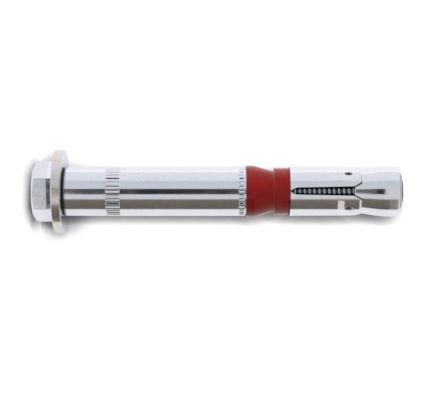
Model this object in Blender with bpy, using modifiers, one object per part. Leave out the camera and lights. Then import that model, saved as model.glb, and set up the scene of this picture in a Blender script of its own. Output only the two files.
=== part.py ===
"""Heavy-duty sleeve anchor for an 18 mm hole, with an M12 hex bolt.

The anchor stands on its hex head. The bolt's axis is +Z and the origin is the centre of the
head's top face, so every Z is a distance from that face. From there up come the washer, the
spacer sleeve, the collapsible plastic sleeve, the expansion sleeve and the expander cone.
Radii grow outwards from the bolt, and lengths stack upwards from the head.
"""

import math

import bmesh
import bpy
from mathutils import Matrix

# Clearances
SEAT_GAP = 0.0003            # along the axis, between faces that meet
RUNNING_GAP = 0.0003         # on the radius, between a socket and the neck inside it
SHANK_CLEARANCE = 0.00045    # on the radius, between the bolt and the steel sleeves

# Hex bolt
HEX_ACROSS_FLATS = 0.0190
HEAD_HEIGHT = 0.0075
HEAD_FACE_INSET = 0.0005     # from a flat to the circle where the chamfer starts
HEAD_CHAMFER_DEG = 30
HEAD_TURN_DEG = 5.6          # from the X axis to a corner, as the head happens to stand
BOLT_DIAMETER = 0.0120
BOLT_TIP_RECESS = 0.0012     # below the cone's end face
BOLT_TIP_CHAMFER = 0.0011

# Thread
THREAD_PITCH = 0.00175
THREAD_HIDDEN_LENGTH = 0.0030    # of thread below the expansion sleeve's fingers
THREAD_FLANK_DEG = 30
THREAD_DEPTH = THREAD_PITCH * 0.541    # five eighths of the sharp V's height
THREAD_ROOT_FLAT = THREAD_PITCH / 4

# Washer
WASHER_DIAMETER = 0.0300
WASHER_THICKNESS = 0.0030
WASHER_HOLE_CLEARANCE = 0.0005
WASHER_EDGE_ROUND = 0.0005

# Spacer sleeve
SPACER_LENGTH = 0.0647
SPACER_WALL = 0.0024
SPACER_NECK_STEP = 0.00065       # how far the neck lies below the sleeve's surface
SPACER_EDGE_CHAMFER = 0.0003
KNURL_GROOVES = 36
KNURL_DEPTH = 0.0003
KNURL_GROOVE_WIDTH = 0.0010
LOWER_KNURL_START = 0.0151       # from the sleeve's lower end
LOWER_KNURL_LENGTH = 0.0051
UPPER_KNURL_LENGTH = 0.0023      # up to the shoulder

# Collapsible sleeve
LIP_LENGTH = 0.0029
LIP_PROUD = 0.00045              # how far the lip stands out from the spacer sleeve
LIP_EDGE_ROUND = 0.0003
LIP_WEB = 0.0003                 # of full thickness above the lip's socket
TAPER_LENGTH = 0.0066
WAIST_CLEARANCE = 0.00035        # on the radius, between the bolt and the waist
WAIST_WALL = 0.00105
STEP_LENGTH = 0.0006
COLLAR_LENGTH = 0.0051
COLLAR_WALL = 0.00055
COLLAR_WEB = 0.0005
COLLAR_RIDGES = 6
COLLAR_RIDGE_HEIGHT = 0.0001

# Expansion sleeve
FINGER_COUNT = 4
FINGER_LENGTH = 0.0255
FINGER_WALL = 0.0020
EXPANSION_NECK_WALL = 0.00115
FIRST_SLOT_DEG = -90
SLOT_LAND = 0.0002               # solid ring between the shoulder and the slots
SLOT_END_LENGTH = 0.0018
SLOT_ROOT_WIDTH = 0.0024
SLOT_MOUTH_WIDTH = 0.0032
FLARE_LENGTH = 0.0030
FLARE_DEG = 28.5
FINGERTIP_ROUND = 0.0030
FINGERTIP_ROUND_LENGTH = 0.0016
DENT_FROM_TIP = 0.0048
DENT_LENGTH = 0.0032
DENT_WIDTH = 0.0018
DENT_DEPTH = 0.0005
LUG_FROM_DENT = 0.0026
LUG_LENGTH = 0.0026
LUG_WIDTH = 0.0034
LUG_HEIGHT = 0.0003
LUG_ROOT = 0.0003                # how deep a lug is sunk into its finger

# Expander cone
CONE_LENGTH = 0.0169
CONE_ENTRY = 0.0025              # how far the cone's nose reaches in between the fingers
CONE_NOSE_WALL = 0.0011
CONE_DEG = 9.5
CONE_PROUD = 0.0002              # of the expansion sleeve, on the radius
CONE_BLEND_RADIUS = 0.0300
CONE_CLEARANCE = 0.0003          # on the radius, between the cone and the fingers
CONE_NOSE_CHAMFER = 0.0002
CONE_END_ROUND = 0.0025
CONE_END_ROUND_LENGTH = 0.0016
CONE_BORE_CHAMFER = 0.0006

# Fineness of the round shapes
SEGMENTS = 48
THREAD_SEGMENTS = 20
ARC_STEPS = 4
CUT_MARGIN = 0.0010              # how far a cutter passes the face it cuts

# Radii, from the bolt outwards
BOLT_RADIUS = BOLT_DIAMETER / 2
STEEL_BORE_RADIUS = BOLT_RADIUS + SHANK_CLEARANCE
SPACER_RADIUS = STEEL_BORE_RADIUS + SPACER_WALL
SPACER_NECK_RADIUS = SPACER_RADIUS - SPACER_NECK_STEP
LIP_SOCKET_RADIUS = SPACER_NECK_RADIUS + RUNNING_GAP
LIP_RADIUS = SPACER_RADIUS + LIP_PROUD
WAIST_BORE_RADIUS = BOLT_RADIUS + WAIST_CLEARANCE
WAIST_RADIUS = WAIST_BORE_RADIUS + WAIST_WALL
EXPANSION_NECK_RADIUS = STEEL_BORE_RADIUS + EXPANSION_NECK_WALL
COLLAR_SOCKET_RADIUS = EXPANSION_NECK_RADIUS + RUNNING_GAP
COLLAR_RADIUS = COLLAR_SOCKET_RADIUS + COLLAR_WALL
FINGER_RADIUS = SPACER_RADIUS
FINGER_BORE_RADIUS = FINGER_RADIUS - FINGER_WALL
CONE_BORE_RADIUS = BOLT_RADIUS + RUNNING_GAP
CONE_NOSE_RADIUS = CONE_BORE_RADIUS + CONE_NOSE_WALL
CONE_RADIUS = FINGER_RADIUS + CONE_PROUD

# Heights, from the head's top face upwards
WASHER_START = HEAD_HEIGHT + SEAT_GAP
WASHER_END = WASHER_START + WASHER_THICKNESS
SPACER_START = WASHER_END + SEAT_GAP
SPACER_SHOULDER = SPACER_START + SPACER_LENGTH
COLLAPSIBLE_START = SPACER_SHOULDER + SEAT_GAP
LIP_END = COLLAPSIBLE_START + LIP_LENGTH
LIP_SOCKET_END = LIP_END - LIP_WEB
SPACER_END = LIP_SOCKET_END - SEAT_GAP
WAIST_START = LIP_END + TAPER_LENGTH
COLLAR_START = WAIST_START + STEP_LENGTH
COLLAPSIBLE_END = COLLAR_START + COLLAR_LENGTH
COLLAR_SOCKET_START = COLLAR_START + COLLAR_WEB
EXPANSION_START = COLLAR_SOCKET_START + SEAT_GAP
EXPANSION_SHOULDER = COLLAPSIBLE_END + SEAT_GAP
FINGERTIP = EXPANSION_SHOULDER + FINGER_LENGTH
CONE_START = FINGERTIP - CONE_ENTRY
CONE_END = CONE_START + CONE_LENGTH
BOLT_TIP = CONE_END - BOLT_TIP_RECESS
THREAD_START = EXPANSION_SHOULDER - THREAD_HIDDEN_LENGTH

# Finishes: colour, metallic value and roughness
ZINC_PLATED_STEEL = ((0.66, 0.65, 0.63), 1.0, 0.28)
TURNED_STEEL = ((0.68, 0.66, 0.63), 1.0, 0.34)
BOLT_STEEL = ((0.58, 0.59, 0.60), 1.0, 0.32)
RED_PLASTIC = ((0.45, 0.02, 0.02), 0.0, 0.32)

SHARP_EDGE_DEG = 32
FLAT_TO_CORNER_DEG = 30      # a six-sided prism starts with a flat facing +X


def clear_scene():
    for item in list(bpy.data.objects):
        bpy.data.objects.remove(item)


def new_collection(name):
    collection = bpy.data.collections.new(name)
    bpy.context.scene.collection.children.link(collection)
    return collection


def material(name, finish):
    color, metallic, roughness = finish
    made = bpy.data.materials.new(name)
    made.use_nodes = True
    shader = made.node_tree.nodes["Principled BSDF"]
    shader.inputs["Base Color"].default_value = (*color, 1.0)
    shader.inputs["Metallic"].default_value = metallic
    shader.inputs["Roughness"].default_value = roughness
    made.diffuse_color = (*color, 1.0)
    return made


def add_object(name, data, collection, height=0.0):
    made = bpy.data.objects.new(name, data)
    made.location.z = height
    collection.objects.link(made)
    return made


def add_cutter(name, data, height=0.0):
    cutter = add_object(name, data, cutters, height)
    cutter.hide_render = True
    cutter.display_type = "WIRE"
    return cutter


def outline_mesh(name, outline, closed):
    """The outline's points are (radius, height), and lie at +X."""
    mesh = bpy.data.meshes.new(name)
    edges = [(i, i + 1) for i in range(len(outline) - 1)]
    if closed:
        edges.append((len(outline) - 1, 0))
    mesh.from_pydata([(radius, 0.0, height) for radius, height in outline], edges, [])
    return mesh


def turn(piece, segments, rise=0.0, turns=1):
    """Sweep the piece's outline round Z, and along it where a rise for each turn is given."""
    screw = piece.modifiers.new("Turn", "SCREW")
    screw.axis = "Z"
    screw.steps = segments
    screw.render_steps = segments
    screw.screw_offset = rise
    screw.iterations = turns
    screw.use_merge_vertices = rise == 0.0
    screw.merge_threshold = 0.00001


def turned(name, outline, collection, height, segments=SEGMENTS, closed=True):
    """A turned solid. Its outline runs down the outside, and then up the bore or the axis."""
    piece = add_object(name, outline_mesh(name, outline, closed), collection, height)
    turn(piece, segments)
    return piece


def combine(piece, other, operation):
    boolean = piece.modifiers.new(other.name, "BOOLEAN")
    boolean.operation = operation
    boolean.solver = "EXACT"
    boolean.object = other


def as_mesh(piece, name):
    """The piece's mesh as its modifiers leave it."""
    bpy.context.view_layer.update()
    graph = bpy.context.evaluated_depsgraph_get()
    mesh = bpy.data.meshes.new_from_object(piece.evaluated_get(graph))
    mesh.name = name
    return mesh


def finish_piece(piece, finish):
    """Settle the modifiers, shade the round faces smooth and give the piece its material."""
    mesh = as_mesh(piece, piece.name)
    piece.modifiers.clear()
    piece.data = mesh
    mesh.shade_smooth()
    mesh.set_sharp_from_angle(angle=math.radians(SHARP_EDGE_DEG))
    mesh.materials.clear()
    mesh.materials.append(material(piece.name, finish))
    piece.parent = anchor


def arc(center, radius, start_deg, end_deg, steps=ARC_STEPS):
    """Points along an arc in the outline's plane, from one angle to the other."""
    points = []
    for step in range(steps + 1):
        angle = math.radians(start_deg + (end_deg - start_deg) * step / steps)
        points.append((center[0] + radius * math.cos(angle), center[1] + radius * math.sin(angle)))
    return points


def eased_end(radius, end, round_radius, round_length):
    """The outer edge of an upper end, eased by an arc that leaves the cylinder smoothly."""
    sweep = math.degrees(math.asin(round_length / round_radius))
    return arc((radius - round_radius, end - round_length), round_radius, sweep, 0)


def extruded(name, rings, thickness):
    """A flat plate with the given closed outlines, centred on its own plane."""
    curve = bpy.data.curves.new(name, "CURVE")
    curve.dimensions = "2D"
    curve.fill_mode = "BOTH"
    curve.extrude = thickness / 2
    for ring in rings:
        spline = curve.splines.new("POLY")
        spline.points.add(len(ring) - 1)
        for point, (x, y) in zip(spline.points, ring):
            point.co = (x, y, 0.0, 1.0)
        spline.use_cyclic_u = True
    guide = add_object(name + "_curve", curve, cutters)
    mesh = as_mesh(guide, name)
    bpy.data.objects.remove(guide)
    build = bmesh.new()
    build.from_mesh(mesh)
    bmesh.ops.remove_doubles(build, verts=build.verts, dist=0.000001)
    bmesh.ops.recalc_face_normals(build, faces=build.faces)
    build.to_mesh(mesh)
    build.free()
    return add_cutter(name, mesh)


def place_on_side(cutter, radius, height, angle_deg):
    """Stand a flat cutter against the side: its X along the rim, its Y up and its Z outwards."""
    angle = math.radians(angle_deg)
    cutter.location = (radius * math.cos(angle), radius * math.sin(angle), height)
    cutter.rotation_euler = (math.pi / 2, 0.0, angle + math.pi / 2)


def capped_sweep(name, outline, rise, turns, height):
    """A closed outline swept along a helix, with both ends filled."""
    guide = add_object(name + "_guide", outline_mesh(name, outline, True), cutters)
    turn(guide, THREAD_SEGMENTS, rise, turns)
    mesh = as_mesh(guide, name)
    bpy.data.objects.remove(guide)
    build = bmesh.new()
    build.from_mesh(mesh)
    open_edges = [edge for edge in build.edges if edge.is_boundary]
    bmesh.ops.holes_fill(build, edges=open_edges, sides=len(outline))
    bmesh.ops.recalc_face_normals(build, faces=build.faces)
    build.to_mesh(mesh)
    build.free()
    return add_cutter(name, mesh, height)


def thread_groove():
    """The V between the thread's turns, from its first turn to past the bolt's tip."""
    outer = BOLT_RADIUS + CUT_MARGIN / 10
    root = BOLT_RADIUS - THREAD_DEPTH
    half_root = THREAD_ROOT_FLAT / 2
    half_outer = half_root + (outer - root) * math.tan(math.radians(THREAD_FLANK_DEG))
    outline = [(outer, -half_outer), (root, -half_root), (root, half_root), (outer, half_outer)]
    turns = math.ceil((BOLT_TIP - THREAD_START) / THREAD_PITCH) + 1
    groove = capped_sweep("thread_groove", outline, THREAD_PITCH, turns, THREAD_START)
    # Half a step round, the groove's facets stay clear of the shank's edges
    groove.rotation_euler.z = math.pi / THREAD_SEGMENTS
    return groove


def chamfered_blank():
    """A disc with the chamfer of the head, which trims the corners of the hexagon."""
    face_radius = HEX_ACROSS_FLATS / 2 - HEAD_FACE_INSET
    rim_radius = HEX_ACROSS_FLATS
    chamfer_height = (rim_radius - face_radius) * math.tan(math.radians(HEAD_CHAMFER_DEG))
    top = HEAD_HEIGHT + CUT_MARGIN + chamfer_height
    outline = [
        (0.0, top),
        (rim_radius, top),
        (rim_radius, chamfer_height),
        (face_radius, 0.0),
        (0.0, 0.0),
    ]
    mesh = outline_mesh("head_blank", outline, False)
    blank = add_cutter("head_blank", mesh)
    turn(blank, SEGMENTS)
    return blank


def shank_blank():
    """The bolt's round stem, rooted inside the head."""
    root = HEAD_HEIGHT / 2
    tip_radius = BOLT_RADIUS - BOLT_TIP_CHAMFER
    shoulder = BOLT_TIP - BOLT_TIP_CHAMFER
    outline = [
        (0.0, BOLT_TIP),
        (tip_radius, BOLT_TIP),
        (BOLT_RADIUS, shoulder),
        (BOLT_RADIUS, root),
        (0.0, root),
    ]
    shank = add_cutter("shank_blank", outline_mesh("shank_blank", outline, False))
    turn(shank, THREAD_SEGMENTS)
    combine(shank, thread_groove(), "DIFFERENCE")
    return shank


def make_hex_bolt():
    build = bmesh.new()
    corner_radius = HEX_ACROSS_FLATS / 2 / math.cos(math.radians(FLAT_TO_CORNER_DEG))
    bmesh.ops.create_cone(build, cap_ends=True, segments=6, radius1=corner_radius,
                          radius2=corner_radius, depth=2 * HEAD_HEIGHT)
    bmesh.ops.bisect_plane(build, geom=build.verts[:] + build.edges[:] + build.faces[:],
                           plane_co=(0.0, 0.0, -CUT_MARGIN), plane_no=(0.0, 0.0, -1.0), clear_outer=True)
    bmesh.ops.holes_fill(build, edges=build.edges, sides=6)
    turned_by = Matrix.Rotation(math.radians(HEAD_TURN_DEG + FLAT_TO_CORNER_DEG), 3, "Z")
    bmesh.ops.rotate(build, verts=build.verts, matrix=turned_by)
    mesh = bpy.data.meshes.new("hex_bolt")
    build.to_mesh(mesh)
    build.free()
    bolt = add_object("hex_bolt", mesh, pieces)
    combine(bolt, chamfered_blank(), "INTERSECT")
    combine(bolt, shank_blank(), "UNION")
    finish_piece(bolt, BOLT_STEEL)


def make_washer():
    hole = BOLT_RADIUS + WASHER_HOLE_CLEARANCE
    rim = WASHER_DIAMETER / 2
    top = WASHER_THICKNESS
    edge = WASHER_EDGE_ROUND
    outline = arc((rim - edge, top - edge), edge, 90, 0, 2)
    outline += arc((rim - edge, edge), edge, 0, -90, 2)
    outline += [(hole, 0.0), (hole, top)]
    washer = turned("washer", outline, pieces, WASHER_START)
    finish_piece(washer, ZINC_PLATED_STEEL)


def knurl_cutter(name, start, length):
    """A ring whose bore is a star: its points stand out of the sleeve and leave V grooves in it."""
    groove_radius = SPACER_RADIUS - KNURL_DEPTH
    rim_radius = SPACER_RADIUS + CUT_MARGIN
    pitch = math.tau / KNURL_GROOVES
    half_width = KNURL_GROOVE_WIDTH / 2 / SPACER_RADIUS
    land_radius = SPACER_RADIUS + CUT_MARGIN / 5
    star = []
    rim = []
    corners = ((-half_width, land_radius), (0.0, groove_radius), (half_width, land_radius))
    for groove in range(KNURL_GROOVES):
        middle = groove * pitch
        for offset, radius in corners:
            star.append((radius * math.cos(middle + offset), radius * math.sin(middle + offset)))
        rim.append((rim_radius * math.cos(middle), rim_radius * math.sin(middle)))
    cutter = extruded(name, [rim, star], length)
    cutter.location.z = start + length / 2
    return cutter


def make_spacer_sleeve():
    length = SPACER_LENGTH
    neck_end = SPACER_END - SPACER_START
    edge = SPACER_EDGE_CHAMFER
    outline = [
        (SPACER_NECK_RADIUS, neck_end),
        (SPACER_NECK_RADIUS, length),
        (SPACER_RADIUS, length),
        (SPACER_RADIUS, edge),
        (SPACER_RADIUS - edge, 0.0),
        (STEEL_BORE_RADIUS, 0.0),
        (STEEL_BORE_RADIUS, neck_end),
    ]
    sleeve = turned("spacer_sleeve", outline, pieces, SPACER_START)
    lower_start = SPACER_START + LOWER_KNURL_START
    upper_start = SPACER_SHOULDER - UPPER_KNURL_LENGTH
    lower_knurl = knurl_cutter("lower_knurl", lower_start, LOWER_KNURL_LENGTH)
    upper_knurl = knurl_cutter("upper_knurl", upper_start, UPPER_KNURL_LENGTH + CUT_MARGIN)
    combine(sleeve, lower_knurl, "DIFFERENCE")
    combine(sleeve, upper_knurl, "DIFFERENCE")
    finish_piece(sleeve, ZINC_PLATED_STEEL)


def collar_ridges(start, end):
    """Fine ridges round the collar, listed from its upper end down."""
    pitch = (end - start) / COLLAR_RIDGES
    points = [(COLLAR_RADIUS, end)]
    for ridge in range(COLLAR_RIDGES):
        top = end - ridge * pitch
        points.append((COLLAR_RADIUS + COLLAR_RIDGE_HEIGHT, top - pitch / 2))
        points.append((COLLAR_RADIUS, top - pitch))
    return points


def make_collapsible_sleeve():
    base = COLLAPSIBLE_START
    lip_end = LIP_END - base
    edge = LIP_EDGE_ROUND
    outline = collar_ridges(COLLAR_START - base, COLLAPSIBLE_END - base)
    outline += [(WAIST_RADIUS, WAIST_START - base), (LIP_RADIUS, lip_end)]
    outline += arc((LIP_RADIUS - edge, edge), edge, 0, -90, 2)
    outline += [
        (LIP_SOCKET_RADIUS, 0.0),
        (LIP_SOCKET_RADIUS, LIP_SOCKET_END - base),
        (WAIST_BORE_RADIUS, LIP_SOCKET_END - base),
        (WAIST_BORE_RADIUS, COLLAR_SOCKET_START - base),
        (COLLAR_SOCKET_RADIUS, COLLAR_SOCKET_START - base),
        (COLLAR_SOCKET_RADIUS, COLLAPSIBLE_END - base),
    ]
    sleeve = turned("collapsible_sleeve", outline, pieces, base)
    finish_piece(sleeve, RED_PLASTIC)


def cone_surface_radius(height):
    """The cone's radius on its straight flank, at a height from the head's top face."""
    return CONE_NOSE_RADIUS + (height - CONE_START) * math.tan(math.radians(CONE_DEG))


def slot_outline(end):
    """One slot, flared towards the fingertips. Its Y is the height above the slot's end."""
    flare_start = end - FLARE_LENGTH
    flare_end = end + CUT_MARGIN
    flare_half = SLOT_MOUTH_WIDTH / 2 + (flare_end - flare_start) * math.tan(math.radians(FLARE_DEG))
    side = []
    for step in range(ARC_STEPS + 1):
        angle = math.pi / 2 * step / ARC_STEPS
        side.append((SLOT_ROOT_WIDTH / 2 * math.sin(angle), SLOT_END_LENGTH * (1 - math.cos(angle))))
    side += [(SLOT_MOUTH_WIDTH / 2, flare_start), (flare_half, flare_end)]
    return side + [(-x, y) for x, y in reversed(side[1:])]


def ellipsoid(name, size, radius, height, angle_deg):
    """A small smooth lump, as wide, as long and as deep as size says, set against the side."""
    build = bmesh.new()
    bmesh.ops.create_uvsphere(build, u_segments=12, v_segments=7, radius=0.5)
    bmesh.ops.scale(build, verts=build.verts, vec=size)
    mesh = bpy.data.meshes.new(name)
    build.to_mesh(mesh)
    build.free()
    lump = add_cutter(name, mesh)
    place_on_side(lump, radius, height, angle_deg)
    return lump


def make_expansion_sleeve():
    base = EXPANSION_START
    shoulder = EXPANSION_SHOULDER - base
    tip = FINGERTIP - base
    tip_bore = cone_surface_radius(FINGERTIP) + CONE_CLEARANCE
    flank = math.tan(math.radians(CONE_DEG))
    taper_start = tip - (tip_bore - FINGER_BORE_RADIUS) / flank
    outline = eased_end(FINGER_RADIUS, tip, FINGERTIP_ROUND, FINGERTIP_ROUND_LENGTH)
    outline += [
        (FINGER_RADIUS, shoulder),
        (EXPANSION_NECK_RADIUS, shoulder),
        (EXPANSION_NECK_RADIUS, 0.0),
        (STEEL_BORE_RADIUS, 0.0),
        (STEEL_BORE_RADIUS, shoulder),
        (FINGER_BORE_RADIUS, shoulder + (FINGER_BORE_RADIUS - STEEL_BORE_RADIUS)),
        (FINGER_BORE_RADIUS, taper_start),
        (tip_bore, tip),
    ]
    sleeve = turned("expansion_sleeve", outline, pieces, base)
    slot_root = EXPANSION_SHOULDER + SLOT_LAND
    slot = slot_outline(FINGERTIP - slot_root)
    depth = FINGER_WALL * 2 + CUT_MARGIN
    middle_radius = (FINGER_RADIUS + FINGER_BORE_RADIUS) / 2
    dent_height = FINGERTIP - DENT_FROM_TIP
    for finger in range(FINGER_COUNT):
        slot_deg = FIRST_SLOT_DEG + 360 / FINGER_COUNT * finger
        finger_deg = slot_deg + 180 / FINGER_COUNT
        cutter = extruded(f"slot_{finger}", [slot], depth)
        place_on_side(cutter, middle_radius, slot_root, slot_deg)
        combine(sleeve, cutter, "DIFFERENCE")
        lug_size = (LUG_WIDTH, LUG_LENGTH, 2 * (LUG_HEIGHT + LUG_ROOT))
        lug_height = dent_height - LUG_FROM_DENT
        lug = ellipsoid(f"lug_{finger}", lug_size, FINGER_RADIUS - LUG_ROOT, lug_height, finger_deg)
        combine(sleeve, lug, "UNION")
        dent_size = (DENT_WIDTH, DENT_LENGTH, 2 * DENT_DEPTH)
        dent = ellipsoid(f"dent_{finger}", dent_size, FINGER_RADIUS, dent_height, finger_deg)
        combine(sleeve, dent, "DIFFERENCE")
    finish_piece(sleeve, ZINC_PLATED_STEEL)


def cone_blend(base):
    """The arc that eases the cone's flank into its cylinder, listed from the cylinder down."""
    meeting = CONE_START + (CONE_RADIUS - CONE_NOSE_RADIUS) / math.tan(math.radians(CONE_DEG))
    tangent = CONE_BLEND_RADIUS * math.tan(math.radians(CONE_DEG) / 2)
    center = (CONE_RADIUS - CONE_BLEND_RADIUS, meeting + tangent - base)
    return arc(center, CONE_BLEND_RADIUS, 0, -CONE_DEG)


def make_expander_cone():
    base = CONE_START
    end = CONE_LENGTH
    nose = CONE_NOSE_CHAMFER
    bore = CONE_BORE_RADIUS
    chamfer = CONE_BORE_CHAMFER
    outline = eased_end(CONE_RADIUS, end, CONE_END_ROUND, CONE_END_ROUND_LENGTH)
    outline += cone_blend(base)
    outline += [
        (cone_surface_radius(base + nose), nose),
        (CONE_NOSE_RADIUS - nose, 0.0),
        (bore, 0.0),
        (bore, end - chamfer),
        (bore + chamfer, end),
    ]
    cone = turned("expander_cone", outline, pieces, base)
    finish_piece(cone, TURNED_STEEL)


clear_scene()
pieces = new_collection("sleeve_anchor")
cutters = new_collection("cutters")
anchor = bpy.data.objects.new("anchor_axis", None)
pieces.objects.link(anchor)
make_hex_bolt()
make_washer()
make_spacer_sleeve()
make_collapsible_sleeve()
make_expansion_sleeve()
make_expander_cone()
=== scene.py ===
import math

import bmesh
import bpy
from mathutils import Matrix, Vector


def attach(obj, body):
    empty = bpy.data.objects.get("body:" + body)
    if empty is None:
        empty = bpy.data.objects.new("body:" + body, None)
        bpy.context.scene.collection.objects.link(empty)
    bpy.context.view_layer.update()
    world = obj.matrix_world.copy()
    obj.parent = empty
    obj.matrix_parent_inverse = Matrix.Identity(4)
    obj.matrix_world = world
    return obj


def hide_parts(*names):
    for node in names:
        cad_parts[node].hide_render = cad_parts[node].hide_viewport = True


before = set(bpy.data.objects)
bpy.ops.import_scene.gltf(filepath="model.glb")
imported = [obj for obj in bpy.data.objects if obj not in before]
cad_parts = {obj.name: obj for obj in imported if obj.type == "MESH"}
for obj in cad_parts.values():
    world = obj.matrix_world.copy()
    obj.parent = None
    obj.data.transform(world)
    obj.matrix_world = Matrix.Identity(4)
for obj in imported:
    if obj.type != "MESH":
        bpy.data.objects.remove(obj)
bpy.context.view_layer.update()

# Lengths and heights here are in millimetres, measured from the head's top face
MM = 0.001
SEAT_GROWTH = 0.12           # how far a piece reaches into the gap that the solids keep at a seat

# Hex bolt
HEX_APOTHEM = 9.5
HEAD_HEIGHT = 7.5
HEAD_FACE_RADIUS = 9.0
HEAD_CHAMFER_DEG = 30
HEX_CORNER_ROUND = 0.35
FIRST_CORNER_DEG = 5.6
TRIM_BAND = 2.0              # of the flats next to the washer, sheared to a slight taper
TRIM_TAPER = 0.17
BOLT_RADIUS = 6.0
BOLT_TIP = 130.3
TIP_CHAMFER = 1.1
THREAD_START = 88.6
PITCH = 1.75
THREAD_DEPTH = 0.947

# Washer
WASHER = (7.8, 10.8)
WASHER_RADIUS = 15.0
WASHER_HOLE = 6.5

# Spacer sleeve
STEEL_BORE = 6.45
SPACER_START = 11.1
SPACER_SHOULDER = 75.8
SPACER_END = 78.4
SPACER_RADIUS = 8.85
SPACER_NECK = 8.2
KNURLS = ((26.2, 31.3), (73.5, 75.5))
KNURL_GROOVES = 36
KNURL_DEPTH = 0.3
KNURL_HALF_DEG = 3.24
KNURL_CREST = 0.03           # pushed up beside each groove
KNURL_CREST_DEG = 1.2
KNURL_RUNOUT = 0.25          # along a groove, to its full depth

# Collapsible sleeve
RED = (76.1, 91.3)
LIP_RADIUS = 9.3
LIP_END = 79.0
WAIST_START = 85.6
WAIST_RADIUS = 7.4
COLLAR_START = 86.2
COLLAR_RADIUS = 8.45
COLLAR_RIDGES = 12
COLLAR_RIDGE_HEIGHT = 0.09
LIP_SOCKET_RADIUS = 8.5
LIP_SOCKET_END = 78.7
WAIST_BORE = 6.35
COLLAR_SOCKET_START = 86.7
COLLAR_SOCKET_RADIUS = 7.9

# Expansion sleeve
EXPANSION_START = 87.0
EXPANSION_NECK = 7.6
EXPANSION_SHOULDER = 91.6
SLOT_ROOT = 91.65
SLOT_END_LENGTH = 3.0
SLOT_ROOT_HALF = 1.2
SLOT_MOUTH_HALF = 1.6
FLARE_START = 114.1
FLARE_DEG = 28.5
FINGERTIP = 117.1
FINGER_BORE = 6.85
TIP_ROUND = 2.0
TIP_ROUND_LENGTH = 0.9
TIP_EDGE = 0.18
SLOT_EDGE = 0.16
SLEEVE_GAP = 0.3             # between the fingers and the cone
DENT_HEIGHT = 112.5
DENT_HALF_WIDTH = 0.8
DENT_HALF_LENGTH = 1.5
DENT_DEPTH = 0.7
LUG = (108.5, 110.85)        # rises at once at its first height, then slopes down
LUG_HALF_WIDTH = 3.4
LUG_HEIGHT = 0.3
FINGER_COLUMNS = 72

# Expander cone
CONE = (114.6, 131.5)
CONE_BORE = 6.3
CONE_NOSE = 7.4
CONE_DEG = 9.5
CONE_RADIUS = 9.05
CONE_BLEND = 30.0
CONE_END_ROUND = 2.5
CONE_END_ROUND_LENGTH = 1.6
CONE_BORE_CHAMFER = 0.6
TURNED_RING = 0.24           # from one turned ring to the next
TURNED_DEPTH = 0.008


# Outlines and meshes

def rounded(corners, closed=True, steps=5):
    """Points of (radius, height). A corner's third value is the radius that rounds it."""
    points = []
    for i, corner in enumerate(corners):
        at = Vector(corner[:2])
        size = corner[2] if len(corner) > 2 else 0.0
        if not size or (not closed and i in (0, len(corners) - 1)):
            points.append((at.x, at.y))
            continue
        to_last = (Vector(corners[i - 1][:2]) - at).normalized()
        to_next = (Vector(corners[(i + 1) % len(corners)][:2]) - at).normalized()
        half = to_last.angle(to_next) / 2
        reach = size / math.tan(half)
        centre = at + (to_last + to_next).normalized() * (size / math.sin(half))
        first = at + to_last * reach - centre
        last = at + to_next * reach - centre
        sweep = math.pi - 2 * half
        support = min(reach * 0.4, 0.1)
        before = at + to_last * (reach + support)
        points.append((before.x, before.y))
        for step in range(steps + 1):
            part = step / steps
            ray = (first * math.sin((1 - part) * sweep) + last * math.sin(part * sweep)) / math.sin(sweep)
            points.append((centre.x + ray.x, centre.y + ray.y))
        after = at + to_next * (reach + support)
        points.append((after.x, after.y))
    return points


def arc(centre, radius, start_deg, end_deg, steps):
    points = []
    for step in range(steps + 1):
        angle = math.radians(start_deg + (end_deg - start_deg) * step / steps)
        points.append((centre[0] + radius * math.cos(angle), centre[1] + radius * math.sin(angle)))
    return points


def even_angles(count):
    return [math.tau * i / count for i in range(count)]


def around(angle, radius, height):
    return (radius * math.cos(angle), radius * math.sin(angle), height)


def loft(outlines, angles, closed=True):
    """Join one outline at each angle round the axis into a skin."""
    rows = len(outlines[0])
    verts = []
    for outline, angle in zip(outlines, angles):
        verts += [around(angle, radius, height) for radius, height in outline]
    faces = []
    for column in range(len(angles)):
        here = column * rows
        there = (column + 1) % len(angles) * rows
        for row in range(rows if closed else rows - 1):
            above = (row + 1) % rows
            faces.append((here + row, there + row, there + above, here + above))
    return verts, faces


def piece(name, node, body, verts, faces, look, sharp_deg=38, inside=None):
    """A shown piece, in place of the frame's node of the same form.

    Faces that lie nearer the axis than the second value of inside, in mm, take its first, a look.
    """
    mesh = bpy.data.meshes.new(name)
    mesh.from_pydata([(x * MM, y * MM, z * MM) for x, y, z in verts], [], faces)
    build = bmesh.new()
    build.from_mesh(mesh)
    bmesh.ops.remove_doubles(build, verts=build.verts, dist=0.000001)
    bmesh.ops.recalc_face_normals(build, faces=build.faces)
    build.to_mesh(mesh)
    build.free()
    mesh.shade_smooth()
    mesh.set_sharp_from_angle(angle=math.radians(sharp_deg))
    mesh.materials.append(look)
    if inside:
        mesh.materials.append(inside[0])
        for face in mesh.polygons:
            if face.center.xy.length < inside[1] * MM:
                face.material_index = 1
    made = bpy.data.objects.new(name, mesh)
    bpy.context.scene.collection.objects.link(made)
    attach(made, body)
    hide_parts(node)
    return made


# Materials

def linear(level):
    level = level / 255
    if level <= 0.04045:
        return level / 12.92
    return ((level + 0.055) / 1.055) ** 2.4


def color(red, green, blue):
    return (linear(red), linear(green), linear(blue), 1.0)


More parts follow.
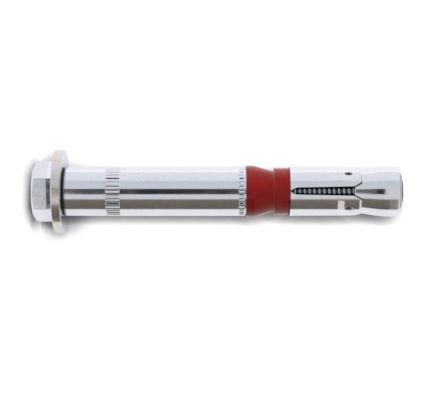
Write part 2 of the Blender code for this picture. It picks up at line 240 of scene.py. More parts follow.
WHITE = (1.0, 1.0, 1.0, 1.0)
BLACK = (0.0, 0.0, 0.0, 1.0)
BRIGHT = (0.80, 0.81, 0.84, 1.0)
COOL = (0.79, 0.80, 0.83, 1.0)
NEUTRAL = (0.80, 0.80, 0.82, 1.0)
WARM = (0.82, 0.81, 0.81, 1.0)
# Dark steel for the faces inside the expansion sleeve: painted shade in its slots and bore
SLOT_SHADE_DARK = (0.12, 0.12, 0.12, 1.0)
LOW_ANGLE_REFLECTION_TINT = (0.93, 0.92, 1.0, 1.0)     # painted reflection: metal reflects a little lavender at a low angle, as the pale surroundings show in it
LAVENDER = (0.84, 0.84, 1.0, 1.0)    # of the floor and wall, as metal shows them


class Look:
    """A material, with short ways to add and join its nodes."""

    def __init__(self, name, base, metallic, roughness):
        self.material = bpy.data.materials.new(name)
        self.material.use_nodes = True
        self.tree = self.material.node_tree
        self.shader = self.tree.nodes["Principled BSDF"]
        self.shader.inputs["Base Color"].default_value = base
        self.shader.inputs["Metallic"].default_value = metallic
        self.shader.inputs["Roughness"].default_value = roughness
        if metallic:
            self.shader.inputs["Specular Tint"].default_value = LOW_ANGLE_REFLECTION_TINT
        self.coords = self.tree.nodes.new("ShaderNodeTexCoord").outputs["Object"]

    def add(self, kind, **values):
        made = self.tree.nodes.new("ShaderNode" + kind)
        for name, value in values.items():
            if hasattr(made, name):
                setattr(made, name, value)
            else:
                made.inputs[name.replace("_", " ")].default_value = value
        return made

    def link(self, output, target):
        self.tree.links.new(output, target)

    def stretched(self, x, y, z):
        """Object coordinates, with so many units to the metre along each axis."""
        mapping = self.add("Mapping")
        mapping.inputs["Scale"].default_value = (x, y, z)
        self.link(self.coords, mapping.inputs["Vector"])
        return mapping.outputs["Vector"]

    def height(self):
        return self.split(self.coords, "Z")

    def from_axis(self):
        """How far a point lies from the anchor's axis."""
        distance = self.add("VectorMath", operation="LENGTH")
        self.link(self.stretched(1, 1, 0), distance.inputs[0])
        return distance.outputs["Value"]

    def noise(self, vector, detail=3.0, roughness=0.5):
        made = self.add("TexNoise", Scale=1.0, Detail=detail, Roughness=roughness)
        self.link(vector, made.inputs["Vector"])
        return made.outputs["Fac"]

    def spread(self, value, low, high, start=0.35, end=0.65):
        made = self.add("MapRange", From_Min=start, From_Max=end, To_Min=low, To_Max=high)
        self.link(value, made.inputs["Value"])
        return made.outputs["Result"]

    def ramp(self, value, *stops):
        made = self.add("ValToRGB")
        self.link(value, made.inputs["Fac"])
        marks = made.color_ramp.elements
        while len(marks) < len(stops):
            marks.new(0.5)
        for mark, (position, tint) in zip(marks, stops):
            mark.position = position
            mark.color = tint
        return made.outputs["Color"]

    def mixed(self, share, first, second, kind="MIX"):
        made = self.add("Mix", data_type="RGBA", blend_type=kind)
        for source, socket in ((share, made.inputs[0]), (first, made.inputs[6]), (second, made.inputs[7])):
            if isinstance(source, (float, tuple)):
                socket.default_value = source
            else:
                self.link(source, socket)
        return made.outputs[2]

    def arithmetic(self, operation, *values):
        """A Math node's result. Each value is an output or a number."""
        made = self.add("Math", operation=operation)
        for socket, value in zip(made.inputs, values):
            if isinstance(value, float):
                socket.default_value = value
            else:
                self.link(value, socket)
        return made.outputs[0]

    def split(self, vector, axis):
        made = self.add("SeparateXYZ")
        self.link(vector, made.inputs[0])
        return made.outputs[axis]

    def bumps(self, *layers):
        """Each layer is (height, depth in mm)."""
        normal = None
        for height, depth in layers:
            made = self.add("Bump", Strength=1.0, Distance=depth * MM)
            self.link(height, made.inputs["Height"])
            if normal:
                self.link(normal, made.inputs["Normal"])
            normal = made.outputs["Normal"]
        self.link(normal, self.shader.inputs["Normal"])


def steel(name, cool, warm, roughness, mottle, drawn=0.0, turned=0.0, painted_seat_shade=None):
    """Zinc plated steel, with the depths in mm of its mottle and of its drawn or turned lines.

    Drawn lines run along the axis and turned ones round it. Below a seat's second height it
    darkens, to the first, with painted shade where the piece meets the part beside it.
    """
    look = Look(name, cool, 1.0, roughness)
    clouds = look.noise(look.stretched(90, 90, 60), 4.0)
    specks = look.noise(look.stretched(1500, 1500, 1500), 2.0)
    tint = look.ramp(clouds, (0.36, cool), (0.66, warm))
    wear_and_highlight = look.ramp(specks, (0.28, (0.90, 0.90, 0.91, 1.0)), (0.42, WHITE))
    tint = look.mixed(1.0, tint, wear_and_highlight, "MULTIPLY")
    # Painted shade: the steel darkens towards the part it meets
    if painted_seat_shade:
        unshaded = look.spread(look.height(), 0.0, 1.0, painted_seat_shade[0] * MM, painted_seat_shade[1] * MM)
        tint = look.mixed(unshaded, (0.06, 0.06, 0.063, 1.0), tint)
    look.link(tint, look.shader.inputs["Base Color"])
    patches = look.noise(look.stretched(260, 260, 120), 3.0)
    look.link(look.spread(patches, roughness * 0.8, roughness * 1.35), look.shader.inputs["Roughness"])
    layers = [(patches, mottle)]
    if drawn:
        layers.append((look.noise(look.stretched(3200, 3200, 45), 3.0), drawn))
    if turned:
        layers.append((look.noise(look.stretched(60, 60, 5200), 3.0), turned))
    look.bumps(*layers)
    return look.material


def washer_steel():
    """Plated faces, and a rougher, yellowed rim."""
    look = Look("washer_zinc", COOL, 1.0, 0.2)
    rim = look.spread(look.from_axis(), 0.0, 1.0, 14.4 * MM, 14.7 * MM)
    clouds = look.noise(look.stretched(420, 420, 160), 4.0)
    yellowed = look.ramp(clouds, (0.36, (0.68, 0.68, 0.67, 1.0)), (0.64, (0.76, 0.70, 0.61, 1.0)))
    look.link(look.mixed(rim, COOL, yellowed), look.shader.inputs["Base Color"])
    look.link(look.spread(rim, 0.13, 0.22, 0.0, 1.0), look.shader.inputs["Roughness"])
    grain = look.noise(look.stretched(1300, 1300, 700), 3.0)
    look.bumps((clouds, 0.045), (grain, 0.022))
    return look.material


def red_plastic():
    look = Look("red_plastic", color(116, 12, 9), 0.0, 0.24)
    shade = look.noise(look.stretched(220, 220, 220), 3.0)
    tint = look.ramp(shade, (0.35, color(111, 11, 8)), (0.68, color(121, 13, 10)))
    look.link(tint, look.shader.inputs["Base Color"])
    look.shader.inputs["Specular IOR Level"].default_value = 0.2
    look.shader.inputs["Sheen Weight"].default_value = 0.3
    look.shader.inputs["Sheen Roughness"].default_value = 0.4
    grain = look.noise(look.stretched(1400, 1400, 1400), 2.0)
    look.link(look.spread(grain, 0.21, 0.27), look.shader.inputs["Roughness"])
    rings = look.noise(look.stretched(200, 200, 2600), 2.0)
    look.bumps((grain, 0.001), (rings, 0.002))
    return look.material


# Pieces

def hex_radius(angle):
    """The hexagon's radius at an angle, with its corners rounded."""
    from_corner = (math.degrees(angle) - FIRST_CORNER_DEG + 30) % 60 - 30
    off = math.radians(abs(from_corner))
    centre = (HEX_APOTHEM - HEX_CORNER_ROUND) / math.cos(math.radians(30))
    touch = math.atan2(HEX_CORNER_ROUND * 0.5, centre + HEX_CORNER_ROUND * math.cos(math.radians(30)))
    if off < touch:
        return centre * math.cos(off) + math.sqrt(HEX_CORNER_ROUND ** 2 - (centre * math.sin(off)) ** 2)
    return HEX_APOTHEM / math.cos(math.radians(30) - off)


def head_angles():
    """Angles round the head, close together at its corners."""
    steps = (-1.6, -0.92, -0.6, -0.3, 0.0, 0.3, 0.6, 0.92, 1.6, 3.0)
    angles = []
    for corner in range(6):
        start = FIRST_CORNER_DEG + 60 * corner
        angles += [start + step for step in steps]
        angles += [start + 7.5 + 4.5 * step for step in range(11)]
        angles.append(start + 57.0)
    return [math.radians(angle) for angle in angles]


def thread_profile():
    """Depths of one turn of thread, as (share of the pitch, share of the depth)."""
    profile = [(-0.21, 0.11), (-0.17, 0.05), (-0.10, 0.015), (0.0, 0.0), (0.10, 0.015), (0.17, 0.05)]
    profile += [(0.21, 0.11), (0.27, 0.32), (0.33, 0.63), (0.38, 0.86), (0.43, 0.97), (0.5, 1.0)]
    profile += [(0.57, 0.97), (0.62, 0.86), (0.67, 0.63), (0.73, 0.32)]
    return profile


def make_bolt(look):
    angles = head_angles()
    slope = math.tan(math.radians(HEAD_CHAMFER_DEG))
    under = HEAD_HEIGHT + SEAT_GROWTH
    outlines = []
    for angle in angles:
        side = hex_radius(angle)
        trimmed = side - TRIM_TAPER
        outline = rounded([
            (0.0, 0.0),
            (HEAD_FACE_RADIUS, 0.0, 0.5),
            (side, (side - HEAD_FACE_RADIUS) * slope, 0.18),
            (side, HEAD_HEIGHT - TRIM_BAND - 0.1),
            (side, HEAD_HEIGHT - TRIM_BAND),
            (side - 0.05 * TRIM_TAPER, HEAD_HEIGHT - TRIM_BAND * 0.95),
            (trimmed, under, 0.15),
            (BOLT_RADIUS, under, 0.3),
            (BOLT_RADIUS, THREAD_START, 0.0),
        ], closed=False)
        outlines.append(outline[:-1])
    verts, faces = loft(outlines, angles, closed=False)
    rows = len(outlines[0])

    # The thread's rows climb with the angle, so each turn ends where the next one starts
    profile = thread_profile()
    turns = math.ceil((BOLT_TIP - THREAD_START) / PITCH) + 1
    start = len(verts)
    columns = len(angles)
    tip_radius = BOLT_RADIUS - TIP_CHAMFER
    for turn in range(-1, turns):
        for share, depth in profile:
            for angle in angles:
                lift = (angle - angles[0]) / math.tau
                height = THREAD_START + PITCH * (turn + share + lift)
                height = min(max(height, THREAD_START), BOLT_TIP)
                grown = min(1.0, (height - THREAD_START) / (1.5 * PITCH))
                radius = BOLT_RADIUS - THREAD_DEPTH * depth * grown
                radius = min(radius, tip_radius + BOLT_TIP - height)
                verts.append(around(angle, radius, height))
    thread_rows = (turns + 1) * len(profile)
    for row in range(thread_rows - 1):
        for column in range(columns):
            here = start + row * columns + column
            if column < columns - 1:
                faces.append((here, here + 1, here + 1 + columns, here + columns))
            elif row + 1 + len(profile) < thread_rows:
                first = start + (row + len(profile)) * columns
                faces.append((here, first, first + columns, here + columns))

    # The shank up to the thread, and the flat tip
    for column in range(columns):
        following = (column + 1) % columns
        low = column * rows + rows - 1
        next_low = following * rows + rows - 1
        faces.append((low, next_low, start + following, start + column))
    rim = start + (thread_rows - 1) * columns
    centre = len(verts)
    verts.append((0.0, 0.0, BOLT_TIP))
    for column in range(columns):
        faces.append((rim + column, rim + (column + 1) % columns, centre))
    return piece("hex_bolt_look", "hex_bolt", "bolt", verts, faces, look)


def make_washer(look):
    low = WASHER[0] - SEAT_GROWTH
    high = WASHER[1] + SEAT_GROWTH
    outline = rounded([
        (WASHER_RADIUS, low, 0.35),
        (WASHER_RADIUS, high, 0.3),
        (WASHER_HOLE, high, 0.2),
        (WASHER_HOLE, low, 0.35),
    ], steps=7)
    angles = even_angles(256)
    verts, faces = loft([outline] * len(angles), angles)
    return piece("washer_look", "washer", "sleeves", verts, faces, look)


def groove_depth(angle, height):
    """How deep the knurling cuts at a place on the spacer sleeve, with crests pushed up beside it."""
    pitch = 360 / KNURL_GROOVES
    shift = abs((math.degrees(angle) + pitch / 2) % pitch - pitch / 2)
    cut = max(0.0, 1 - shift / KNURL_HALF_DEG) * KNURL_DEPTH
    crest = max(0.0, 1 - abs(shift - KNURL_HALF_DEG) / KNURL_CREST_DEG) * KNURL_CREST
    for start, end in KNURLS:
        if start <= height <= end:
            ease = min(height - start, end - height) / KNURL_RUNOUT
            return (cut - crest) * min(1.0, ease)
    return 0.0


def make_spacer(look):
    start = SPACER_START - SEAT_GROWTH
    corners = [(SPACER_RADIUS, start, 0.3)]
    for low, high in KNURLS:
        for height in (-0.2, -0.08, 0.0, 0.08, 0.17, 0.25, 0.35):
            corners.append((SPACER_RADIUS, low + height))
        for height in (0.35, 0.25, 0.17, 0.08, 0.0, -0.08):
            corners.append((SPACER_RADIUS, high - height))
    corners += [
        (SPACER_RADIUS, SPACER_SHOULDER, 0.1),
        (SPACER_NECK, SPACER_SHOULDER),
        (SPACER_NECK, SPACER_END, 0.15),
        (STEEL_BORE, SPACER_END, 0.15),
        (STEEL_BORE, start, 0.15),
    ]
    plain = rounded(corners)
    angles = even_angles(360)
    outlines = []
    for angle in angles:
        outline = []
        for radius, height in plain:
            if radius > SPACER_RADIUS - 0.01:
                radius -= groove_depth(angle, height)
            outline.append((radius, height))
        outlines.append(outline)
    verts, faces = loft(outlines, angles)
    return piece("spacer_sleeve_look", "spacer_sleeve", "sleeves", verts, faces, look)


def make_red_sleeve(look):
    low, high = RED
    pitch = (high - COLLAR_START) / COLLAR_RIDGES
    corners = [(LIP_RADIUS, low, 0.2), (LIP_RADIUS, LIP_END, 0.4)]
    corners += [(WAIST_RADIUS, WAIST_START, 0.25), (COLLAR_RADIUS, COLLAR_START, 0.15)]
    for ridge in range(COLLAR_RIDGES):
        start = COLLAR_START + pitch * ridge
        corners.append((COLLAR_RADIUS + COLLAR_RIDGE_HEIGHT, start + pitch * 0.5))
        if ridge < COLLAR_RIDGES - 1:
            corners.append((COLLAR_RADIUS, start + pitch))
    corners += [
        (COLLAR_RADIUS, high, 0.15),
        (COLLAR_SOCKET_RADIUS, high, 0.1),
        (COLLAR_SOCKET_RADIUS, COLLAR_SOCKET_START),
        (WAIST_BORE, COLLAR_SOCKET_START),
        (WAIST_BORE, LIP_SOCKET_END),
        (LIP_SOCKET_RADIUS, LIP_SOCKET_END),
        (LIP_SOCKET_RADIUS, low, 0.1),
    ]
    angles = even_angles(192)
    outline = rounded(corners)
    verts, faces = loft([outline] * len(angles), angles)
    return piece("collapsible_sleeve_look", "collapsible_sleeve", "sleeves",
                 verts, faces, look)


def cone_flank(height):
    return CONE_NOSE + (height - CONE[0]) * math.tan(math.radians(CONE_DEG))


def slot_half(height):
    """Half the slot's width at a height."""
    rise = height - SLOT_ROOT
    if rise <= 0:
        return 0.0
    if rise < SLOT_END_LENGTH:
        return SLOT_ROOT_HALF * (1 - (1 - rise / SLOT_END_LENGTH) ** 2)
    if height < FLARE_START:
        share = (rise - SLOT_END_LENGTH) / (FLARE_START - SLOT_ROOT - SLOT_END_LENGTH)
        return SLOT_ROOT_HALF + (SLOT_MOUTH_HALF - SLOT_ROOT_HALF) * share
    return SLOT_MOUTH_HALF + (height - FLARE_START) * math.tan(math.radians(FLARE_DEG))


def finger_outer(height):
    if height < FINGERTIP - TIP_ROUND_LENGTH:
        return SPACER_RADIUS
    past = height - (FINGERTIP - TIP_ROUND_LENGTH)
    return SPACER_RADIUS - TIP_ROUND + math.sqrt(TIP_ROUND ** 2 - past ** 2)


def finger_inner(height):
    bore = STEEL_BORE + max(0.0, height - EXPANSION_SHOULDER)
    return max(min(bore, FINGER_BORE), cone_flank(height) + SLEEVE_GAP)


def finger_relief(angle, height):
    """The pressed dent and the low raised patch in the middle of each finger."""
    across = ((math.degrees(angle) % 90) - 45) / 180 * math.pi * SPACER_RADIUS
    low, high = LUG
    relief = 0.0
    if low <= height <= high:
        side = min(1.0, max(0.0, (LUG_HALF_WIDTH - abs(across)) / LUG_HEIGHT))
        relief = LUG_HEIGHT * side * (high - height) / (high - low)
    dent = 1 - (across / DENT_HALF_WIDTH) ** 2 - ((height - DENT_HEIGHT) / DENT_HALF_LENGTH) ** 2
    if dent > 0:
        relief -= DENT_DEPTH * min(1.0, 1.5 * dent)
    return relief


def finger_rows():
    """Heights up a finger, and how far its edges are drawn in at each."""
    rows = []
    for step in range(13):
        rows.append((SLOT_ROOT + SLOT_END_LENGTH * step / 12, 0.0))

    # Far apart where the finger is plain, and close together past its patch and dent
    for start, end, spacing in ((95.2, 107.6, 1.1), (108.0, 114.15, 0.13)):
        height = start
        while height < end:
            if abs(height - LUG[0]) > 0.05:
                rows.append((height, 0.0))
            height += spacing
    rows += [(LUG[0] - 0.02, 0.0), (LUG[0], 0.0)]
    for share in (0.2, 0.45, 0.6, 0.7, 0.8, 0.9):
        rows.append((FLARE_START + share * (FINGERTIP - FLARE_START), 0.0))
    for step in range(6):
        angle = math.pi / 2 * step / 5
        rows.append((FINGERTIP - TIP_EDGE * (1 - math.sin(angle)), TIP_EDGE * (1 - math.cos(angle))))
    return sorted(rows)


def finger_loop(slot_angle, height, inset):
    """A finger's cross-section, from the slot at its side round to the next slot and back."""
    outer = finger_outer(height) - inset
    inner = finger_inner(height) + inset
    half = slot_half(height) + inset
    ease = min(SLOT_EDGE, half * 0.5)
    corner_steps = 3
    side = []
    top = math.sqrt(outer ** 2 - (half + ease) ** 2)
    for step in range(1, corner_steps + 1):
        turn = math.pi / 2 * step / corner_steps
        side.append((half + ease - ease * math.sin(turn), top - ease + ease * math.cos(turn)))
    bottom = math.sqrt(inner ** 2 - (half + ease) ** 2)
    low = bottom + ease
    high = top - ease
    for step in range(1, 5):
        side.append((half, high + (low - high) * step / 5))
    for step in range(corner_steps):
        turn = math.pi / 2 * step / corner_steps
        side.append((half + ease - ease * math.cos(turn), low - ease * math.sin(turn)))

    def place(across, along, angle):
        return (along * math.cos(angle) - across * math.sin(angle),
                along * math.sin(angle) + across * math.cos(angle), height)

    loop = []
    quarter = math.pi / 2
    first = math.asin((half + ease) / outer)
    for step in range(FINGER_COLUMNS + 1):
        angle = first + (quarter - 2 * first) * step / FINGER_COLUMNS
        here = slot_angle + angle
        relief = finger_relief(here, height) if inset == 0.0 else 0.0
        loop.append(around(here, outer + relief, height))
    for across, along in side:
        loop.append(place(-across, along, slot_angle + quarter))
    first = math.asin((half + ease) / inner)
    for step in range(FINGER_COLUMNS, -1, -1):
        angle = first + (quarter - 2 * first) * step / FINGER_COLUMNS
        loop.append(around(slot_angle + angle, inner, height))
    for across, along in reversed(side):
        loop.append(place(across, along, slot_angle))
    return loop


def make_expansion_sleeve(look, cut):
    rows = finger_rows()
    verts = []
    faces = []
    for finger in range(4):
        slot_angle = math.radians(-90 + 90 * finger)
        start = len(verts)
        for height, inset in rows:
            loop = finger_loop(slot_angle, height, inset)
            verts += loop
        size = len(loop)
        for row in range(len(rows) - 1):
            for column in range(size):
                here = start + row * size
                following = (column + 1) % size
                faces.append((here + column, here + following, here + size + following, here + size + column))
        last = start + (len(rows) - 1) * size
        faces.append(tuple(last + column for column in range(size)))

    # The whole ring below the slots: shoulder, neck and bore
    ring = rounded([
        (SPACER_RADIUS, SLOT_ROOT),
        (SPACER_RADIUS, EXPANSION_SHOULDER, 0.08),
        (EXPANSION_NECK, EXPANSION_SHOULDER),
        (EXPANSION_NECK, EXPANSION_START, 0.1),
        (STEEL_BORE, EXPANSION_START, 0.1),
        (STEEL_BORE, EXPANSION_SHOULDER),
        (finger_inner(SLOT_ROOT), SLOT_ROOT),
    ], closed=False)
    angles = [math.radians(-90) + angle for angle in even_angles(4 * FINGER_COLUMNS)]
    start = len(verts)
    ring_verts, ring_faces = loft([ring] * len(angles), angles, closed=False)
    verts += ring_verts
    faces += [tuple(start + index for index in face) for face in ring_faces]
    return piece("expansion_sleeve_look", "expansion_sleeve", "sleeves",
                 verts, faces, look, inside=(cut, SPACER_RADIUS - 0.2))


def make_cone(look):
    low, high = CONE
    end_sweep = math.degrees(math.asin(CONE_END_ROUND_LENGTH / CONE_END_ROUND))
    end_centre = (CONE_RADIUS - CONE_END_ROUND, high - CONE_END_ROUND_LENGTH)
    outline = arc(end_centre, CONE_END_ROUND, end_sweep, 0, 10)
    meeting = low + (CONE_RADIUS - CONE_NOSE) / math.tan(math.radians(CONE_DEG))
    tangent = CONE_BLEND * math.tan(math.radians(CONE_DEG) / 2)
    height = high - CONE_END_ROUND_LENGTH - 0.25
    while height > meeting + tangent + 0.2:
        outline.append((CONE_RADIUS - TURNED_DEPTH, height - TURNED_RING / 2))
        outline.append((CONE_RADIUS, height - TURNED_RING))
        height -= TURNED_RING
    outline += arc((CONE_RADIUS - CONE_BLEND, meeting + tangent), CONE_BLEND, 0, -CONE_DEG, 12)
    outline += rounded([
        (cone_flank(low + 1.0), low + 1.0),
        (CONE_NOSE, low, 0.2),
        (CONE_BORE, low, 0.2),
        (CONE_BORE, high - CONE_BORE_CHAMFER, 0.1),
        (CONE_BORE + CONE_BORE_CHAMFER, high, 0.1),
        outline[0],
    ], closed=False)[:-1]
    angles = even_angles(256)
    verts, faces = loft([outline] * len(angles), angles)
    return piece("expander_cone_look", "expander_cone", "cone", verts, faces, look)


def bolt_steel():
    """A plated head and tip, and a thread darkened by painted shade, with painted highlights on its crests.
    """
    look = Look("bolt_zinc", BRIGHT, 1.0, 0.16)
    height = look.height()
    # Painted shade darkens the thread, least on its crests, which carry a painted highlight
    wear_and_highlight = look.spread(look.from_axis(), 0.0, 1.0, 5.55 * MM, 5.75 * MM)
    grown = look.spread(height, 0.0, 1.0, 86 * MM, 89 * MM)
    tip = look.spread(height, 1.0, 0.0, 129.4 * MM, 129.8 * MM)
    on_thread = look.arithmetic("MULTIPLY", grown, tip)
    crest = look.mixed(wear_and_highlight, (0.17, 0.20, 0.215, 1.0), (0.42, 0.50, 0.53, 1.0))
    clouds = look.noise(look.stretched(120, 120, 120), 4.0)
    plate = look.ramp(clouds, (0.36, (0.76, 0.78, 0.83, 1.0)), (0.66, NEUTRAL))
    look.link(look.mixed(on_thread, plate, crest), look.shader.inputs["Base Color"])
    patches = look.noise(look.stretched(420, 420, 420), 3.0)
    rough = look.arithmetic("MULTIPLY_ADD", on_thread, -0.04, look.spread(patches, 0.13, 0.22))
    look.link(rough, look.shader.inputs["Roughness"])
    look.bumps((patches, 0.02), (look.noise(look.stretched(2200, 2200, 2200), 2.0), 0.002))
    return look.material


make_bolt(bolt_steel())
make_washer(washer_steel())
# The spacer darkens next to the washer: painted shade
make_spacer(steel("spacer_zinc", COOL, WARM, 0.10, mottle=0.006, drawn=0.0012, painted_seat_shade=(11.3, 12.2)))
make_red_sleeve(red_plastic())
# Painted shade: the sleeve darkens next to the red sleeve, and its faces inside the slots and bore take dark
# steel
make_expansion_sleeve(
    steel("expansion_zinc", NEUTRAL, WARM, 0.11, mottle=0.010, drawn=0.0014, painted_seat_shade=(91.66, 91.85)),
    steel("expansion_slot_shade", SLOT_SHADE_DARK, (0.15, 0.145, 0.14, 1.0), 0.30, mottle=0.02),
)
make_cone(steel("cone_zinc", NEUTRAL, (0.81, 0.80, 0.80, 1.0), 0.09, mottle=0.006, turned=0.0007))


# Camera, at the photograph's angle: the anchor's axis runs across the picture

CAMERA_PLACE = (0.00526, -0.419, 0.0652)
camera_data = bpy.data.cameras.new("camera")
camera_data.sensor_fit = "HORIZONTAL"
camera_data.sensor_width = 36.0
camera_data.lens = 97.1
camera_data.clip_start = 0.01
camera_data.clip_end = 20.0
camera = bpy.data.objects.new("camera", camera_data)
bpy.context.scene.collection.objects.link(camera)
turn = Matrix(((0.0, -1.0, 0.0), (0.0, 0.0, -1.0), (1.0, 0.0, 0.0))).to_4x4()
camera.matrix_world = Matrix.Translation(CAMERA_PLACE) @ turn
bpy.context.scene.camera = camera


# Floor, backdrop and light

def seen_ray(tree):
    """1 for a ray that shows the background, straight or in metal or glass, and 0 for other light."""
    paths = tree.nodes.new("ShaderNodeLightPath")
    value = paths.outputs["Is Camera Ray"]
    for kind in ("Is Glossy Ray", "Is Transmission Ray"):
        either = tree.nodes.new("ShaderNodeMath")
        either.operation = "MAXIMUM"
        tree.links.new(value, either.inputs[0])
        tree.links.new(paths.outputs[kind], either.inputs[1])
        value = either.outputs[0]
    straight = tree.nodes.new("ShaderNodeMath")
    straight.operation = "SUBTRACT"
    straight.use_clamp = True
    tree.links.new(value, straight.inputs[0])
    tree.links.new(paths.outputs["Diffuse Depth"], straight.inputs[1])
    return straight.outputs[0]


def pale_ground(name, matt, glow, mirrored, shades):
    """White where it is lit, with the object's shadow kept, and clear from behind.

    It glows a little to the eye, and by the mirrored share of that in metal. Each shade darkens it
    near the object and is (reach, openness where it is darkest, its level there, side it looks to,
    where it starts to fade and where it ends to either side of the middle).
    """
    look = Look(name, WHITE, 0.0, 1.0)
    tree = look.tree
    tree.nodes.remove(look.shader)
    look.material.cycles.emission_sampling = "NONE"
    aside = look.arithmetic("ABSOLUTE", look.split(look.coords, "X"))
    shade = 1.0
    for reach, openness, darkest, facing, fade, end in shades:
        nearby = look.add("AmbientOcclusion", samples=16, Distance=reach)
        toward = look.add("CombineXYZ")
        for socket, value in zip(toward.inputs, Vector(facing).normalized()):
            socket.default_value = value
        look.link(toward.outputs[0], nearby.inputs["Normal"])
        darker = look.spread(nearby.outputs["AO"], darkest - 1.0, 0.0, openness, 0.98)
        near = look.spread(aside, 1.0, 0.0, fade, end)
        shade = look.arithmetic("MULTIPLY", shade, look.arithmetic("MULTIPLY_ADD", darker, near, 1.0))
    direct = look.add("LightPath").outputs["Is Camera Ray"]
    glow = look.spread(direct, glow * mirrored, glow, 0.0, 1.0)
    glowing = look.arithmetic("MULTIPLY", seen_ray(tree), glow)
    light = look.add("Emission")
    look.link(look.mixed(direct, LAVENDER, WHITE), light.inputs["Color"])
    look.link(look.arithmetic("MULTIPLY", glowing, shade), light.inputs["Strength"])
    paint = look.add("BsdfDiffuse")
    look.link(look.mixed(shade, BLACK, (matt, matt, matt, 1.0)), paint.inputs["Color"])
    lit = look.add("AddShader")
    look.link(paint.outputs[0], lit.inputs[0])
    look.link(light.outputs[0], lit.inputs[1])
    front = look.add("MixShader")
    look.link(look.add("NewGeometry").outputs["Backfacing"], front.inputs[0])
    look.link(lit.outputs[0], front.inputs[1])
    look.link(look.add("BsdfTransparent").outputs[0], front.inputs[2])
    look.link(front.outputs[0], tree.nodes["Material Output"].inputs["Surface"])
    return look.material


def stage(name, corners, faces, look):
    mesh = bpy.data.meshes.new(name)
    mesh.from_pydata(corners, [], faces)
    mesh.materials.append(look)
    made = bpy.data.objects.new(name, mesh)
    bpy.context.scene.collection.objects.link(made)
    return made


# The anchor lies on a white ground in the photograph. It stands here, so a wall is that ground.
# Lengths of the stage are in metres.
FLOOR_HALF = 0.6
WALL_HALF = 0.12
WALL_HEIGHT = 0.25
WALL_FOOT = 0.0153
WALL_HEAD = WALL_FOOT - 0.006 * WALL_HEIGHT
FLOOR_SHADES = [
    (0.020, 0.47, 0.2, (-0.48, 0.87, 0.1), 0.006, 0.0137),
    (0.0135, 0.62, 0.42, (-0.6, -0.6, 0.3), 0.0105, 0.0155),
]
WALL_SHADES = [
    (0.0108, 0.7, 0.20, (-0.6, -0.68, 0.4), 0.0145, 0.0185),
    (0.0125, 0.66, 0.7, (-0.98, -0.2, 0.0), 0.0105, 0.0155),
]


def sheet(name, half, start, end, look):
    """A flat four-cornered sheet, between two edges of the same width. Each edge is (y, z)."""
    corners = [(-half, *start), (half, *start), (half, *end), (-half, *end)]
    made = stage(name, corners, [(0, 1, 2, 3)], look)
    made.visible_shadow = False
    return made


floor_look = pale_ground("pale_floor", 0.6, 0.75, 1.0, FLOOR_SHADES)
wall_look = pale_ground("pale_wall", 0.78, 0.32, 0.65, WALL_SHADES)
floor = sheet("floor", FLOOR_HALF, (-FLOOR_HALF, 0.0), (FLOOR_HALF, 0.0), floor_look)
floor.visible_glossy = False
sheet("backdrop", WALL_HALF, (WALL_FOOT, 0.0), (WALL_HEAD, WALL_HEIGHT), wall_look)


# The light tent, which the bright steel mirrors as bands

TENT_RADIUS = 1.5
TENT_HALF_HEIGHT = 2.1
TENT_TOP = (1.05, 0.28)      # outer and inner radius of its flat top
MATT_LIGHT = 0.34            # of the light that shows in metal, so many parts fall on matt surfaces


def panel(red, green, blue):
    """The light that bright steel shows as this colour."""
    return tuple(min(1.0, linear(level) / 0.8) for level in (red, green, blue)) + (1.0,)


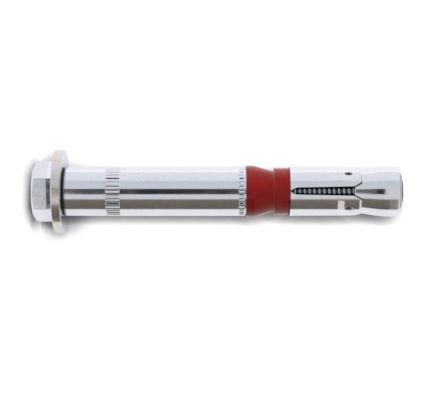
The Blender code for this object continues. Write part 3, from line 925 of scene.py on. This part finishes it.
def tent_look():
    """Panels by azimuth in degrees, with the dark gap that the camera looks through.

    What a tube shows changes along it, so the panels change with the height too.
    """
    look = Look("tent", WHITE, 0.0, 1.0)
    tree = look.tree
    tree.nodes.remove(look.shader)
    look.material.cycles.emission_sampling = "NONE"
    flipped = look.stretched(-1, -1, 1)
    azimuth = look.arithmetic("ARCTAN2", look.split(flipped, "X"), look.split(flipped, "Y"))
    place = look.spread(azimuth, 0.0, 1.0, -math.pi, math.pi)
    height = look.height()

    def bands(*stops):
        return look.ramp(place, *[((degrees + 180) / 360, panel(*tint)) for degrees, *tint in stops])

    side = [(-180, 228, 228, 238), (-96, 228, 228, 238)]
    room = [(-90, 96, 91, 88), (-62, 103, 97, 91), (-40, 112, 104, 97)]
    faint = [(degrees, 176, 174, 173) for degrees, *rest in room]
    pale = [(degrees, 150, 148, 146) for degrees, *rest in room]
    bright = [(degrees, 203, 202, 201) for degrees, *rest in room]
    low = [(-35.5, 196, 197, 198), (-16, 200, 202, 206)]
    under = [
        (-35.5, 196, 197, 198), (-16, 210, 214, 222), (-12, 232, 238, 250), (-6, 232, 238, 250),
        (6, 204, 206, 210),
    ]
    narrow = [
        (-12, 232, 238, 250), (-9, 232, 238, 250), (-7.4, 46, 48, 50), (8, 46, 48, 50), (9.2, 200, 202, 206),
    ]
    grey = [(-14, 76, 78, 81), (10, 76, 78, 81)]
    wide = [(-13, 42, 44, 46), (10, 42, 44, 46)]
    high = [
        (12, 197, 199, 203), (30, 194, 198, 207), (47, 192, 196, 206), (50, 212, 214, 223),
        (68, 218, 220, 240), (95, 220, 221, 241), (110, 228, 227, 238), (180, 228, 228, 238),
    ]

    # From the bottom up, each of these takes over between two heights
    zones = [
        (-0.7, -0.42, bands(*side, *room, *under, *high)),
        (-0.240, -0.230, bands(*side, *room, *low, *narrow, *high)),
        (-0.205, -0.195, bands(*side, *room, *low, *grey, *high)),
        (-0.15, -0.09, bands(*side, *room, *low, *wide, *high)),
        (0.13, 0.19, bands(*side, *room, *low, *high)),
        (0.345, 0.375, bands(*side, *pale, *low, *high)),
        (0.43, 0.50, bands(*side, *bright, *low, *high)),
        (0.95, 1.1, panel(170, 168, 168)),
        (1.9, 2.05, panel(48, 47, 46)),
    ]
    tint = bands(*side, *faint, *low, *high)
    for start, end, following in zones:
        tint = look.mixed(look.spread(height, 0.0, 1.0, start, end), tint, following)
    light = look.add("Emission")
    look.link(tint, light.inputs["Color"])
    look.link(look.spread(seen_ray(tree), MATT_LIGHT, 1.0, 0.0, 1.0), light.inputs["Strength"])
    look.link(light.outputs[0], tree.nodes["Material Output"].inputs["Surface"])
    return look.material


def tent_part(name, outline, look):
    """Part of the tent, which only the metal shows."""
    part = stage(name, *loft([outline] * 128, even_angles(128), closed=False), look)
    part.visible_camera = False
    part.visible_diffuse = False
    part.visible_transmission = False
    part.visible_shadow = False


tent = tent_look()
tent_part("tent_side", [(TENT_RADIUS, -TENT_HALF_HEIGHT), (TENT_RADIUS, TENT_HALF_HEIGHT)], tent)
tent_part("tent_top", [(radius, TENT_HALF_HEIGHT) for radius in TENT_TOP], tent)


def studio_world():
    """White to the eye and in metal, and a softer light on matt surfaces."""
    world = bpy.data.worlds.new("studio")
    world.use_nodes = True
    world.cycles.sampling_method = "NONE"
    bpy.context.scene.world = world
    nodes = world.node_tree.nodes
    links = world.node_tree.links
    strength = nodes.new("ShaderNodeMapRange")
    links.new(seen_ray(world.node_tree), strength.inputs["Value"])
    strength.inputs["To Min"].default_value = MATT_LIGHT
    strength.inputs["To Max"].default_value = 1.0
    back = nodes["Background"]
    back.inputs["Color"].default_value = WHITE
    links.new(strength.outputs[0], back.inputs["Strength"])


studio_world()


MIDDLE = Vector((0.0, 0.0, 0.065))


def lamp(name, place, size, power):
    data = bpy.data.lights.new(name, "AREA")
    data.shape = "DISK"
    data.size = size
    data.energy = power
    made = bpy.data.objects.new(name, data)
    bpy.context.scene.collection.objects.link(made)
    made.location = place
    made.rotation_euler = (MIDDLE - made.location).to_track_quat("-Z", "Y").to_euler()
    made.visible_glossy = False


lamp("key", (-0.05, -0.68, 0.145), size=0.235, power=3.05)
lamp("top", (-0.60, -0.06, 0.08), size=0.30, power=3.6)

bpy.context.scene.view_settings.view_transform = "Standard"
